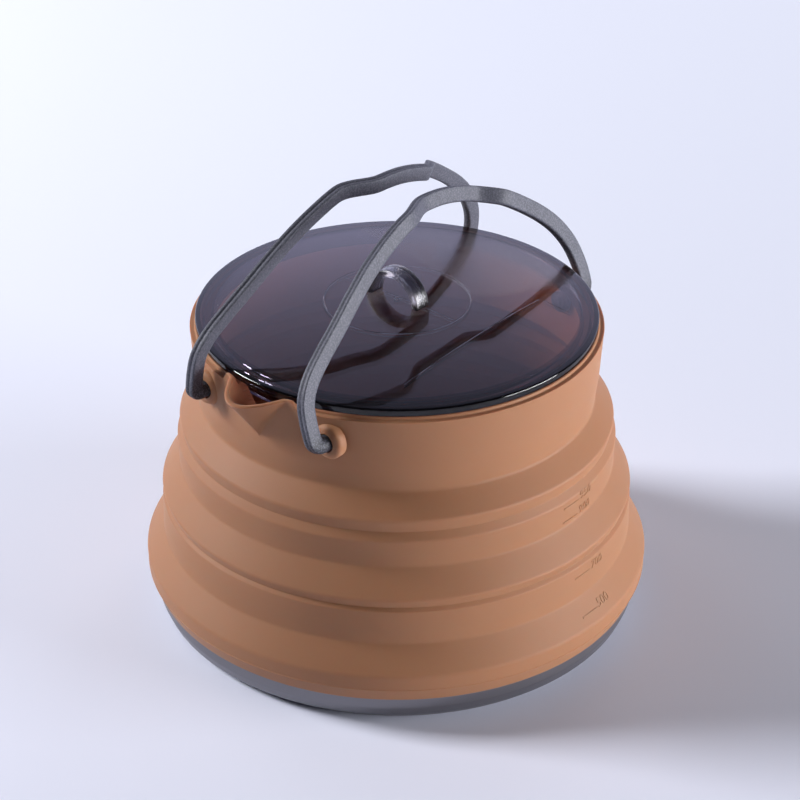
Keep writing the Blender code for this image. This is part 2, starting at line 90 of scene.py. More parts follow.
# %% [markdown]
# ## Drawing and turning an outline
#
# Most of this kettle is round, so most of it is made as on a lathe. A single point is drawn out
# from corner to corner in the plane y = 0 by extruding it, and the finished outline is spun about
# the upright axis. Scaling and extruding rings upward from a circle gives the same shape, but
# then a hollow wall needs its inside made separately, while an outline simply goes round both
# sides. Silicone has no sharp edges, so each corner can carry a rounding radius.

# %% Helpers: outline and lathe
WELD_DISTANCE = 0.003 * MM
NEARLY_STRAIGHT = math.radians(89.5)
LONGEST_REACH = 0.48


def clear_selection():
    """Leaves object mode with nothing selected, so an operator acts only on what comes next."""
    if bpy.context.object and bpy.context.object.mode != "OBJECT":
        bpy.ops.object.mode_set(mode="OBJECT")
    bpy.ops.object.select_all(action="DESELECT")


def pick(*items):
    """Selects only the given objects and makes the first of them active."""
    clear_selection()
    for item in items:
        item.select_set(True)
    bpy.context.view_layer.objects.active = items[0]


def named(name):
    """Names the newest object and its mesh."""
    item = bpy.context.object
    item.name = item.data.name = name
    return item


def softened(corners, closed=True, spacing=1.0, arc_steps=7):
    """Corners (radius, height, rounding) as a dense outline, with an arc at each corner."""
    count = len(corners)
    points = []
    for i, (radius, height, rounding) in enumerate(corners):
        here = Vector((radius, height))
        if rounding == 0 or (not closed and i in (0, count - 1)):
            points.append(here)
            continue
        before = Vector(corners[i - 1][:2]) - here
        after = Vector(corners[(i + 1) % count][:2]) - here
        half = before.angle(after) / 2
        if half > NEARLY_STRAIGHT:
            points.append(here)
            continue
        reach = min(rounding / math.tan(half), LONGEST_REACH * before.length,
                    LONGEST_REACH * after.length)
        inward = (before.normalized() + after.normalized()).normalized()
        centre = here + inward * reach / math.cos(half)
        start = here + before.normalized() * reach - centre
        end = here + after.normalized() * reach - centre
        sweep = start.angle(end)
        for k in range(arc_steps + 1):
            t = k / arc_steps
            turned_by = start * math.sin((1 - t) * sweep) + end * math.sin(t * sweep)
            points.append(centre + turned_by / math.sin(sweep))
    dense = []
    for first, second in zip(points, points[1:] + (points[:1] if closed else [])):
        parts = max(1, math.ceil((second - first).length / spacing))
        dense += [first.lerp(second, k / parts) for k in range(parts)]
    if not closed:
        dense.append(points[-1])
    return [(p.x, p.y) for p in dense]


def draw_outline(name, outline):
    """Extrudes one point along an outline of (radius, height), and stays in edit mode."""
    clear_selection()
    bpy.ops.mesh.primitive_circle_add(vertices=3, radius=MM)
    item = named(name)
    bpy.ops.object.mode_set(mode="EDIT")
    bpy.ops.mesh.select_mode(type="VERT")
    bpy.ops.mesh.select_all(action="SELECT")
    bpy.ops.mesh.merge(type="CENTER")
    places = [Vector((radius * MM, 0, height * MM)) for radius, height in outline]
    bpy.ops.transform.translate(value=places[0])
    for at, to in zip(places, places[1:]):
        bpy.ops.mesh.extrude_vertices_move(TRANSFORM_OT_translate={"value": to - at})
    return item


def select_where(item, kind, wanted):
    """Selects the vertices or edges of a mesh in edit mode that pass a test."""
    mesh = bmesh.from_edit_mesh(item.data)
    for part in getattr(mesh, kind):
        part.select = wanted(part)
    mesh.select_flush_mode()
    bmesh.update_edit_mesh(item.data)


def close_outline(item):
    """Joins the outline's last point to its first with an edge."""
    select_where(item, "verts", lambda vert: len(vert.link_edges) == 1)
    bpy.ops.mesh.edge_face_add()


def seal(item, angle=35):
    """Merges doubles, turns the faces outward and shades smooth across angles below the given."""
    bpy.ops.mesh.select_all(action="SELECT")
    bpy.ops.mesh.remove_doubles(threshold=WELD_DISTANCE)
    bpy.ops.mesh.normals_make_consistent(inside=False)
    bpy.ops.object.mode_set(mode="OBJECT")
    bpy.ops.object.shade_smooth_by_angle(angle=math.radians(angle))
    return item


def lathe(name, outline, columns=256, closed=True, angle=35):
    """Spins an outline of (radius, height) in millimetres about the upright axis."""
    item = draw_outline(name, outline)
    if closed:
        close_outline(item)
    bpy.ops.mesh.select_all(action="SELECT")
    bpy.ops.mesh.spin(steps=columns, angle=math.tau, center=(0, 0, 0), axis=(0, 0, 1),
                      use_auto_merge=True)
    seal(item, angle)
    print(name, len(item.data.polygons), "faces")
    return item


# %% [markdown]
# ## The pan
#
# The foot of the kettle is a shallow aluminium pan, pressed from sheet and anodised. Its skirt
# steps in to a neck that the silicone grips. It could be a cylinder with bevelled edges, but the
# pressing has a soft lower corner and an even sheet thickness, which a turned outline gives at
# once.

# %% Pan
PAN_OUTLINE = [
    (0.0, 0.0, 0), (72.5, 0.0, 3.0), (74.2, 0.4, 1.2), (76.8, 2.7, 3.5), (78.2, 6.2, 4.0),
    (78.6, 9.9, 0.25), (77.2, 9.9, 0.2), (77.2, 16.0, 0.5), (75.8, 16.0, 0.5), (75.8, 1.4, 4.5),
    (0.0, 1.4, 0),
]
pan = lathe("pan", softened(PAN_OUTLINE, closed=False, spacing=3.0), columns=288, closed=False)
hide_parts("base_pan")

# %% [markdown]
# ## The silicone tiers
#
# The body is one moulding: stiff upright rings joined by sloping shoulders that flip when a tier
# is pushed down. Here it is cut, where nobody sees it, across the straight wall of each ring.
# Each length is turned as a closed wall, thinner at the creases where it hinges. A thin raised line
# at the foot is the mould's parting line.

# %% Silicone tiers
LOWER_OUTLINE = [
    (77.5, 9.98, 0), (79.0, 9.98, 0.35), (80.72, 14.2, 1.0), (80.82, 14.55, 0), (80.97, 14.62, 0),
    (80.97, 14.80, 0), (80.86, 14.88, 0), (81.1, 19.7, 2.6), (75.4, 28.1, 1.8), (75.4, 33.0, 0),
    (73.4, 33.0, 0), (73.4, 28.4, 2.5), (79.0, 20.2, 2.5), (79.4, 15.0, 1.0), (77.5, 14.6, 0.3),
]
MIDDLE_OUTLINE = [
    (75.4, 33.0, 0), (75.2, 39.3, 0.8), (74.2, 40.4, 0.22), (75.3, 43.3, 1.3), (69.4, 51.6, 1.6),
    (69.55, 56.0, 0), (67.55, 56.0, 0), (67.4, 52.0, 2.5), (72.9, 44.0, 1.6), (72.6, 40.6, 0.4),
    (73.4, 36.6, 1.5), (73.4, 33.0, 0),
]
UPPER_OUTLINE = [
    (69.55, 56.0, 0), (69.72, 60.6, 1.6), (67.95, 63.1, 0.22), (68.95, 67.15, 1.4),
    (62.5, 74.0, 1.6), (62.93, 77.5, 0), (60.5, 77.5, 0), (60.5, 74.4, 2.0), (66.9, 67.3, 1.5),
    (66.5, 63.1, 0.4), (67.7, 59.8, 1.2), (67.55, 56.0, 0),
]
lower_wall = lathe("lower_tier_wall", softened(LOWER_OUTLINE), angle=50)
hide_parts("base_band", "lower_fold")
middle_wall = lathe("middle_tier_wall", softened(MIDDLE_OUTLINE), angle=50)
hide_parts("lower_ring", "middle_fold")
upper_wall = lathe("upper_tier_wall", softened(UPPER_OUTLINE), angle=50)
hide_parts("middle_ring", "upper_fold")

# %% [markdown]
# ## The collar and its beak
#
# The top of the body is a collar with a ledge for the lid and a beak drawn out of its wall, like
# folded paper: two flat facets that run down to a point. A boolean of a cone gives the right form
# but a hard, thin edge, and silicone has none. So a flat grid is rolled up instead: one direction
# of the grid goes round the kettle, closer together at the beak and the hooks, and the other goes
# up the outside, over the lip and down the inside. At each place the wall is pushed out to
# whichever lies further, the collar or the beak, with a soft hand-over between the two.

# %% Beak: how far the wall stands out
RIM_HEIGHT = 101.0
SEAT_HEIGHT = 98.6
SEAT_INSIDE = 60.5
RIM_RADIUS = 64.5
LIP_INSIDE = 63.5
LIP_WALL = RIM_RADIUS - LIP_INSIDE
LIP_STEPS = 96
BEAK_HALF_WIDTH = 12.2
BEAK_REACH = 11.8
BEAK_WALL = 1.6
BEAK_DROP = 1.0
BEAK_TAPER = 2.1
BEAK_FOOT = Vector((0.0, -63.64, 85.0))
CHANNEL_FOOT = BEAK_FOOT + Vector((0, BEAK_WALL, 2.6))
HAND_OVER = {"outer": 0.9, "inner": 0.5}
SLIVER = 0.05
chord = -math.sqrt(RIM_RADIUS ** 2 - BEAK_HALF_WIDTH ** 2)


def lip_points(half_width, reach):
    """The beak's lip seen from above, as (x, y, height)."""
    points = []
    for k in range(LIP_STEPS + 1):
        turn = math.pi * k / LIP_STEPS
        y = chord + LIP_WALL - reach * math.sin(turn) ** BEAK_TAPER
        height = RIM_HEIGHT + min(y - chord, 0.0) * BEAK_DROP / BEAK_REACH
        points.append((-half_width * math.cos(turn), y, height))
    return points


full_reach = BEAK_REACH + LIP_WALL
lips = {"outer": (lip_points(BEAK_HALF_WIDTH, full_reach), BEAK_FOOT),
        "inner": (lip_points(BEAK_HALF_WIDTH - BEAK_WALL, full_reach - BEAK_WALL), CHANNEL_FOOT)}
sections = {}


def interpolated(x, xs, ys):
    """The value at x on the line through the points, or nothing where x lies outside them."""
    if x < xs[0] or x > xs[-1]:
        return None
    high = min(bisect.bisect_right(xs, x), len(xs) - 1)
    low = high - 1
    span = xs[high] - xs[low]
    return ys[low] + (ys[high] - ys[low]) * ((x - xs[low]) / span if span else 0.0)


def beak_section(side, height):
    """The beak's outline at a height, as bearings from the beak's line and radii."""
    points, foot = lips[side]
    bearings = []
    radii = []
    for x, y, lip_height in points:
        share = (height - foot.z) / (lip_height - foot.z)
        px = foot.x + (x - foot.x) * share
        py = foot.y + (y - foot.y) * share
        bearings.append(math.atan2(px, -py))
        radii.append(math.hypot(px, py))
    return bearings, radii


def stands_out(side, height, bearing):
    """How far the beak's side stands out at a height and bearing, or nothing beside it."""
    if height <= lips[side][1].z + SLIVER:
        return None
    place = (side, round(height, 3))
    if place not in sections:
        sections[place] = beak_section(side, height)
    return interpolated(bearing, *sections[place])


def pushed_out(plain, side, height, bearing):
    """The larger of the plain radius and the beak's, rounded where they cross."""
    beak = stands_out(side, height, bearing)
    if beak is None:
        return plain
    soft = HAND_OVER[side]
    near = max(soft - abs(plain - beak), 0.0) / soft
    return max(plain, beak) + near * near * soft / 4


lip_bearings = [math.atan2(x, -y) for x, y, lip_height in lips["outer"][0]]
lip_tops = [lip_height for x, y, lip_height in lips["outer"][0]]
print("beak reaches", round(-min(p[1] for p in lips["outer"][0]), 2), "mm from the axis")

# %% Collar: the grid rolled up
COLLAR_FOOT = 77.5
LEDGE_FOOT = 97.9
LEDGE_HEIGHT = 98.3
BEAD_TOP = 99.25
LIP_ROUND = 0.5
CHANNEL_SINK = 1.5
CHANNEL_FULL = 3.0
RAMP_START = math.radians(0.4)
RAMP = math.radians(2.2)
COLUMNS = 640
OUTER_ROWS = 58
LIP_ROWS = 14
INNER_LIP_ROWS = 8
SEAT_ROWS = 10
INNER_ROWS = 40
RIM_ROWS = LIP_ROWS + INNER_LIP_ROWS + SEAT_ROWS
ROWS = OUTER_ROWS + RIM_ROWS + INNER_ROWS
CROWDING = 0.7
COLLAR_OUTSIDE = softened([(62.93, COLLAR_FOOT, 0), (63.5, 82.2, 12.0), (RIM_RADIUS, 98.6, 6.0),
                           (RIM_RADIUS, 103.0, 0)], closed=False, spacing=0.3)
RIM_LINE = softened([(RIM_RADIUS, LEDGE_FOOT, 0), (RIM_RADIUS, LEDGE_HEIGHT, 0.25),
                     (63.05, LEDGE_HEIGHT + 0.05, 0.2), (62.95, BEAD_TOP, 0.3),
                     (62.2, BEAD_TOP, 0.35), (61.8, 98.65, 0.2), (SEAT_INSIDE, SEAT_HEIGHT, 0)],
                    closed=False, spacing=0.15, arc_steps=4)
outside_heights = [p[1] for p in COLLAR_OUTSIDE]
outside_radii = [p[0] for p in COLLAR_OUTSIDE]


def smoothstep(value):
    """0 below 0 and 1 above 1, soft between."""
    value = min(max(value, 0.0), 1.0)
    return value * value * (3 - 2 * value)


def running_lengths(points):
    """How far along its line each point lies."""
    lengths = [0.0]
    for first, second in zip(points, points[1:]):
        lengths.append(lengths[-1] + math.dist(first, second))
    return lengths


def along_line(length, lengths, points):
    """The place at a length along a line of points."""
    return Vector([interpolated(length, lengths, [p[k] for p in points]) for k in (0, 1)])


rim_lengths = running_lengths(RIM_LINE)


def outer_radius(height, bearing):
    plain = interpolated(height, outside_heights, outside_radii)
    return pushed_out(plain, "outer", height, bearing)


def beak_rim(row, bearing, top):
    """Radius and height along the beak's lip: over it, down inside and in to the seat."""
    shoulder = top - LIP_ROUND
    if row <= LIP_ROWS:
        turn = math.pi * row / LIP_ROWS
        outside = outer_radius(shoulder, bearing)
        half = (outside - pushed_out(LIP_INSIDE, "inner", shoulder, bearing)) / 2
        return outside - half * (1 - math.cos(turn)), shoulder + LIP_ROUND * math.sin(turn)
    row -= LIP_ROWS
    if row <= INNER_LIP_ROWS:
        height = shoulder + (SEAT_HEIGHT - shoulder) * row / INNER_LIP_ROWS
        return pushed_out(LIP_INSIDE, "inner", height, bearing), height
    channel = stands_out("inner", SEAT_HEIGHT, bearing) or 0.0
    taken = min(max((channel - SEAT_INSIDE) / CHANNEL_FULL, 0.0), 1.0)
    share = (row - INNER_LIP_ROWS) / SEAT_ROWS
    height = SEAT_HEIGHT - CHANNEL_SINK * taken * share
    plain = LIP_INSIDE + (SEAT_INSIDE - LIP_INSIDE) * share
    return pushed_out(plain, "inner", height, bearing), height


def collar_place(row, bearing):
    """Radius and height of a row of the grid: up the outside, over the rim and down inside."""
    top = interpolated(bearing, lip_bearings, lip_tops) or RIM_HEIGHT
    beak_share = 1 - smoothstep((abs(bearing) - lip_bearings[-1] - RAMP_START) / RAMP)
    wall_top = (top - LIP_ROUND) * beak_share + LEDGE_FOOT * (1 - beak_share)
    if row <= OUTER_ROWS:
        height = COLLAR_FOOT + (wall_top - COLLAR_FOOT) * row / OUTER_ROWS
        return outer_radius(height, bearing), height
    row -= OUTER_ROWS
    if row <= RIM_ROWS:
        plain = along_line(rim_lengths[-1] * row / RIM_ROWS, rim_lengths, RIM_LINE)
        if beak_share > 0:
            plain = plain.lerp(Vector(beak_rim(row, bearing, top)), beak_share)
        return plain.x, plain.y
    row -= RIM_ROWS
    start = SEAT_HEIGHT
    if beak_share > 0:
        start += (beak_rim(RIM_ROWS, bearing, top)[1] - SEAT_HEIGHT) * beak_share
    height = start + (COLLAR_FOOT - start) * row / INNER_ROWS
    return pushed_out(SEAT_INSIDE, "inner", height, bearing), height


clear_selection()
bpy.ops.mesh.primitive_grid_add(x_subdivisions=COLUMNS, y_subdivisions=ROWS, size=2)
collar = named("spout_collar")
for vert in collar.data.vertices:
    column = round((vert.co.x + 1) / 2 * COLUMNS)
    row = round((vert.co.y + 1) / 2 * ROWS)
    even = math.tau * column / COLUMNS - math.pi
    bearing = even - CROWDING * math.sin(2 * even) / 2
    radius, height = collar_place(row, bearing)
    vert.co = (radius * math.sin(bearing) * MM, -radius * math.cos(bearing) * MM, height * MM)
bpy.ops.object.mode_set(mode="EDIT")
bpy.ops.mesh.select_all(action="SELECT")
bpy.ops.mesh.remove_doubles(threshold=WELD_DISTANCE)
bpy.ops.mesh.select_mode(type="EDGE")
select_where(collar, "edges", lambda edge: edge.is_boundary)
bpy.ops.mesh.bridge_edge_loops()
seal(collar, 40)
print("spout_collar", len(collar.data.polygons), "faces")

# %% [markdown]
# ## Bosses and bores for the bails
#
# Four round pads stand out of the collar where the bails hook in, each with a bore right through.
# Pads and bores are modelled as the tools that would make them: a set of cylinders with a rounded
# rim joined to the wall, and a set of drills taken out of it. They are made once, copied to the
# four places, and used together, so the wall is cut only twice.

# %% Bosses and bores
PIVOT_X = 24.5
PIVOT_HEIGHT = 90.5
BOSS_RADIUS = 5.5
BOSS_FACE = 61.5
BOSS_ROOT = 58.2
BOSS_ROUND = 1.6
BORE_RADIUS = 3.0
BORE_START = BOSS_FACE + 2.0
BORE_DEPTH = 12.0


def tool_cylinder(radius, outer_end, depth, sides):
    """A cylinder lying along y at the front right pivot."""
    clear_selection()
    bpy.ops.mesh.primitive_cylinder_add(
        vertices=sides, radius=radius * MM, depth=depth * MM, rotation=(math.pi / 2, 0, 0),
        location=(PIVOT_X * MM, -(outer_end - depth / 2) * MM, PIVOT_HEIGHT * MM))
    bpy.ops.object.transform_apply()
    return bpy.context.object


def four_copies(item, name):
    """Copies a tool made on the front right pivot to the other three, and joins the four."""
    copies = [item]
    for flip in ((-1, 1), (1, -1), (-1, -1)):
        pick(item)
        bpy.ops.object.duplicate()
        copy = bpy.context.object
        copy.data.transform(Matrix.Diagonal((*flip, 1, 1)))
        if flip[0] * flip[1] < 0:
            copy.data.flip_normals()
        copies.append(copy)
    pick(*copies)
    bpy.ops.object.join()
    item.name = name
    return item


def cut_with(item, tool, operation):
    """Applies a boolean and removes its tool."""
    pick(item)
    step = item.modifiers.new(tool.name, "BOOLEAN")
    step.operation = operation
    step.solver = "EXACT"
    step.object = tool
    bpy.ops.object.modifier_apply(modifier=step.name)
    bpy.data.objects.remove(tool, do_unlink=True)


boss = tool_cylinder(BOSS_RADIUS, BOSS_FACE, BOSS_FACE - BOSS_ROOT, sides=96)
bpy.ops.object.mode_set(mode="EDIT")
bpy.ops.mesh.select_mode(type="EDGE")
bpy.ops.mesh.select_all(action="DESELECT")
face_y = -BOSS_FACE * MM
select_where(boss, "edges", lambda edge: all(abs(vert.co.y - face_y) < 1e-6 for vert in edge.verts))
bpy.ops.mesh.bevel(offset=BOSS_ROUND * MM, segments=6, affect="EDGES")
bpy.ops.object.mode_set(mode="OBJECT")
cut_with(collar, four_copies(boss, "bosses"), "UNION")

bore = tool_cylinder(BORE_RADIUS, BORE_START, BORE_DEPTH, sides=64)
cut_with(collar, four_copies(bore, "bores"), "DIFFERENCE")
bpy.ops.object.mode_set(mode="EDIT")
seal(collar, 40)
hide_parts("collar")
print("spout_collar", len(collar.data.polygons), "faces after cutting")

# %% [markdown]
# ## The bails
#
# Each bail is a moulded nylon strap: a rounded bar with a shallow groove along its outer face,
# bent over the lid and turned in at both ends to hook into the bosses. A curve with a bevel gives
# one section all along, but here the flat strap becomes a round pin at the hooks. So the section
# is drawn once and extruded station by station, each new end set in its place on the arch. The
# right bail stands a little taller and is flexed inward at the rear, as it is in the photograph.

# %% Bail: section and arch
BAIL_WIDTH = 3.0
BAIL_DEPTH = 5.0
BAIL_ROUND = 0.9
GROOVE_WIDTH = 1.3
GROOVE_DEPTH = 0.28
PIN_RADIUS = 2.5
PIN_HEAD_RADIUS = 3.6
PIN_HEAD_LENGTH = 2.0
HEAD_ROUND = 0.15
HEAD_GAP = 0.5
COLLAR_INSIDE = 60.4
BEND_RADIUS = 3.0
LEG_Y = 65.8
TOP_HEIGHT = 49.0
RIGHT_TOP_HEIGHT = 50.3
RIGHT_REAR_PULL = Vector((0.0, -1.0, 0.0))
PULL_RISE = 12.0
GRIP_OFFSET = 5.0
STATIONS = 150
BEND_STATIONS = 14
NEARBY = 0.05
ARCH_SHARES = (
    (-1.000, 0.00), (-1.000, 0.12), (-0.985, 0.24), (-0.930, 0.345), (-0.840, 0.44),
    (-0.705, 0.56), (-0.560, 0.695), (-0.415, 0.815), (-0.265, 0.91), (-0.110, 0.98),
    (0.060, 1.00), (0.230, 0.985), (0.390, 0.93), (0.535, 0.845), (0.670, 0.73),
    (0.790, 0.605), (0.880, 0.485), (0.945, 0.36), (0.985, 0.24), (1.000, 0.12), (1.000, 0.00),
)
GRIP_STEP_SHARES = (-0.12, 0.10, 0.44, 0.58)
PULL_SHARES = (-0.1, 0.8)


def between(value, start, end):
    """A soft step from 0 at the start to 1 at the end."""
    return smoothstep((value - start) / (end - start))


def spline_point(points, place):
    """A point of the smooth curve through the given points, place counted in spans."""
    last = len(points) - 1
    span = min(int(place), last - 1)
    t = place - span
    p0, p1 = points[max(span - 1, 0)], points[span]
    p2, p3 = points[span + 1], points[min(span + 2, last)]
    return (2 * p1 + (p2 - p0) * t + (2 * p0 - 5 * p1 + 4 * p2 - p3) * t ** 2
            + (3 * p1 - p0 - 3 * p2 + p3) * t ** 3) / 2


def strap_section():
    """The strap's outline as (outward, across), from its inner face round the groove and back."""
    depth, width = BAIL_DEPTH / 2, BAIL_WIDTH / 2
    corners = [(-depth, 0.0, 0), (-depth, width, BAIL_ROUND), (depth, width, 0.8),
               (depth, GROOVE_WIDTH / 2, 0.3), (depth - GROOVE_DEPTH, 0.0, 0)]
    half = softened(corners, closed=False, spacing=0.9, arc_steps=4)
    return half + [(n, -b) for n, b in reversed(half[1:-1])]


def pin_section(flat):
    """A round section with its points at the same places along its outline as the strap's."""
    lengths = running_lengths(flat + flat[:1])
    turns = [math.tau * length / lengths[-1] for length in lengths[:-1]]
    return [(-PIN_RADIUS * math.cos(turn), PIN_RADIUS * math.sin(turn)) for turn in turns]


strap = strap_section()
pin = pin_section(strap)
print("strap section of", len(strap), "points")

# %% Bail: stations
def hook_stations():
    """The hook on the beak's side, from the pin's head to the foot of the leg."""
    far_x = PIVOT_X + PIN_HEAD_RADIUS
    head_y = -math.sqrt(COLLAR_INSIDE ** 2 - far_x ** 2) + HEAD_GAP
    inner_end = head_y + PIN_HEAD_LENGTH
    head = PIN_HEAD_RADIUS / PIN_RADIUS
    rows = [(inner_end, 0.9), (inner_end - HEAD_ROUND, 1.0),
            (head_y + PIN_HEAD_LENGTH / 2, head), (head_y + HEAD_ROUND, head),
            (head_y, head - 0.06), (head_y, 1.0), (head_y - 1.0, 1.0), (head_y - 3.0, 1.0)]
    stations = [(Vector((0, y, 0)), Vector((0, -1, 0)), size, 0.0) for y, size in rows]
    for k in range(BEND_STATIONS):
        turn = math.pi / 2 * k / BEND_STATIONS
        at = Vector((0, -LEG_Y + BEND_RADIUS * (1 - math.sin(turn)),
                     BEND_RADIUS * (1 - math.cos(turn))))
        along = Vector((0, -math.cos(turn), math.sin(turn)))
        stations.append((at, along, 1.0, smoothstep(k / BEND_STATIONS)))
    return stations


def bail_stations(side):
    """Every station of one bail as (centre, direction, size of the pin, share of the strap)."""
    rise = (TOP_HEIGHT if side < 0 else RIGHT_TOP_HEIGHT) - BEND_RADIUS
    points = [Vector((0, y * LEG_Y, BEND_RADIUS + h * rise)) for y, h in ARCH_SHARES]

    def centre(place):
        point = spline_point(points, place)
        share = point.y / LEG_Y
        inward = between(share, *GRIP_STEP_SHARES[:2]) - between(share, *GRIP_STEP_SHARES[2:])
        point.x = -side * GRIP_OFFSET * inward
        if side > 0:
            pull = between(point.z, BEND_RADIUS, BEND_RADIUS + PULL_RISE)
            point += RIGHT_REAR_PULL * pull * between(share, *PULL_SHARES)
        return point

    spans = len(points) - 1
    arch = []
    for k in range(STATIONS + 1):
        place = spans * k / STATIONS
        along = centre(min(place + NEARBY, spans)) - centre(max(place - NEARBY, 0.0))
        arch.append((centre(place), along.normalized(), 1.0, 1.0))
    front = hook_stations()
    rear = [(Vector((0, -at.y, at.z)), Vector((0, along.y, -along.z)), size, share)
            for at, along, size, share in reversed(front)]
    return front + arch + rear


def section_at(station, place):
    """The section's points at a station, moved to their place on the kettle."""
    at, along, size, share = station
    outward = Vector((1, 0, 0)).cross(along).normalized()
    sideways = along.cross(outward).normalized()
    ring = []
    for (pin_n, pin_b), (strap_n, strap_b) in zip(pin, strap):
        n = size * pin_n * (1 - share) + strap_n * share
        b = size * pin_b * (1 - share) + strap_b * share
        ring.append(place @ ((at + outward * n + sideways * b) * MM))
    return ring


# %% Bail: extruded along the arch
def bend_bail(name, side, lean):
    """Extrudes the section from one pin head over the arch to the other."""
    place = (Matrix.Translation((side * PIVOT_X * MM, 0, PIVOT_HEIGHT * MM))
             @ Matrix.Rotation(-side * math.radians(lean), 4, "Y"))
    stations = bail_stations(side)
    count = len(strap)
    clear_selection()
    bpy.ops.mesh.primitive_circle_add(vertices=count, radius=PIN_RADIUS * MM, fill_type="NGON")
    item = named(name)
    for vert, co in zip(item.data.vertices, section_at(stations[0], place)):
        vert.co = co
    bpy.ops.object.mode_set(mode="EDIT")
    bpy.ops.mesh.select_all(action="SELECT")
    for station in stations[1:]:
        bpy.ops.mesh.extrude_region_move()
        mesh = bmesh.from_edit_mesh(item.data)
        mesh.verts.ensure_lookup_table()
        for vert, co in zip(mesh.verts[-count:], section_at(station, place)):
            vert.co = co
    bmesh.update_edit_mesh(item.data)
    seal(item, 38)
    print(name, len(item.data.polygons), "faces")
    return item


left_bail = bend_bail("left_bail_strap", -1, 8.0)
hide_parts("bail_left")
right_bail = bend_bail("right_bail_strap", 1, 16.5)
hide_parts("bail_right")

# %% [markdown]
# ## The lid
#
# The lid is moulded in clear smoked plastic: a low dome with a rounded rim, and a skirt below it
# that keeps it centred on the ledge. Clear plastic shows every inner face, so the finger loop
# can't just be pushed into the dome; it is spun from its own section and joined to the lid with a
# boolean that leaves one continuous skin.

# %% Lid
LID_RADIUS = 62.75
LID_ROUND = 0.6
LID_FOOT = 99.3
LID_EDGE_TOP = 101.8
LID_CROWN = 3.8
LID_THICKNESS = 2.2
DOME_RADIUS = LID_RADIUS - 1.0
DOME_STEPS = 30
SKIRT_RADIUS = 59.6
SKIRT_FOOT = 94.5
SKIRT_INSIDE = SKIRT_RADIUS - 2.2


def dome_height(radius):
    return LID_EDGE_TOP + LID_CROWN * (1 - (radius / DOME_RADIUS) ** 2)


dome_top = [(r, dome_height(r), 0)
            for r in [DOME_RADIUS * k / DOME_STEPS for k in range(DOME_STEPS)]]
rim = [(LID_RADIUS, dome_height(LID_RADIUS), LID_ROUND), (LID_RADIUS, LID_FOOT, 0.35),
       (SKIRT_RADIUS, LID_FOOT, 0.1), (SKIRT_RADIUS, SKIRT_FOOT, 0.1),
       (SKIRT_INSIDE, SKIRT_FOOT, 0.1),
       (SKIRT_INSIDE, dome_height(SKIRT_INSIDE) - LID_THICKNESS, 0.1)]
underside = [(r, dome_height(r) - LID_THICKNESS, 0)
             for r in [SKIRT_INSIDE * k / DOME_STEPS for k in range(DOME_STEPS - 2, -1, -1)]]
lid_outline = softened(dome_top + rim + underside, closed=False, spacing=2.5)
lid = lathe("smoked_lid", lid_outline, closed=False)

# %% Finger loop
LOOP_OUTER = 10.5
LOOP_INNER = 8.0
LOOP_WIDTH = 6.0
LOOP_ROUND = 0.7
LOOP_STEPS = 64
LOOP_SINK = 0.5
loop_foot = dome_height(0) - LID_THICKNESS / 4
half_loop = LOOP_WIDTH / 2
loop_corners = [(LOOP_INNER, -half_loop, LOOP_ROUND), (LOOP_OUTER, -half_loop, LOOP_ROUND),
                (LOOP_OUTER, half_loop, LOOP_ROUND), (LOOP_INNER, half_loop, LOOP_ROUND)]
loop = draw_outline("finger_loop", softened(loop_corners, spacing=1.5, arc_steps=5))
close_outline(loop)
bpy.ops.mesh.select_all(action="SELECT")
bpy.ops.mesh.edge_face_add()
mesh = bmesh.from_edit_mesh(loop.data)
for vert in mesh.verts:
    vert.co = (vert.co.x, vert.co.z, (loop_foot - LOOP_SINK) * MM)
bmesh.update_edit_mesh(loop.data)
bpy.ops.mesh.extrude_region_move(TRANSFORM_OT_translate={"value": (0, 0, LOOP_SINK * MM)})
bpy.ops.mesh.spin(steps=LOOP_STEPS, angle=math.pi, center=(0, 0, loop_foot * MM), axis=(0, 1, 0))
bpy.ops.mesh.extrude_region_move(TRANSFORM_OT_translate={"value": (0, 0, -LOOP_SINK * MM)})
seal(loop, 38)
print("loop top at", round(max(vert.co.z for vert in loop.data.vertices) / MM, 2), "mm")
cut_with(lid, loop, "UNION")
bpy.ops.object.mode_set(mode="EDIT")
seal(lid, 38)
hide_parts("lid")
print("smoked_lid", len(lid.data.polygons), "faces")

# %% [markdown]
# ## Volume marks
#
# On the right of the beak, short raised lines with plain numbers show how full the kettle is.
# They are raised only a sixth of a millimetre. Text is typed, made solid, turned into a mesh and
# then wrapped round the wall: its length becomes an angle, its height is walked along the wall's
# own outline, and its thickness stands out of the wall.

# %% Volume marks
MARK_RAISE = 0.16
MARK_BEARING = math.radians(87.0)
NUMBER_SIZE = 4.278
NUMBER_START = 8.0
NUMBER_SWELL = 0.01
LEAN_STEP = 0.5
LINE_LENGTH = 7.2
LINE_TALL = 0.55
LINE_DROP = 1.0
MARKS = (("950", 58.9), ("900", 53.6), ("700", 36.6), ("500", 23.9))
wall_line = []
for corners, kept in ((LOWER_OUTLINE[1:10], 1), (MIDDLE_OUTLINE[:6], 1), (UPPER_OUTLINE[:6], 0)):
    outside = softened(corners, closed=False)
    wall_line += outside[:len(outside) - kept]
climbs = running_lengths(wall_line)


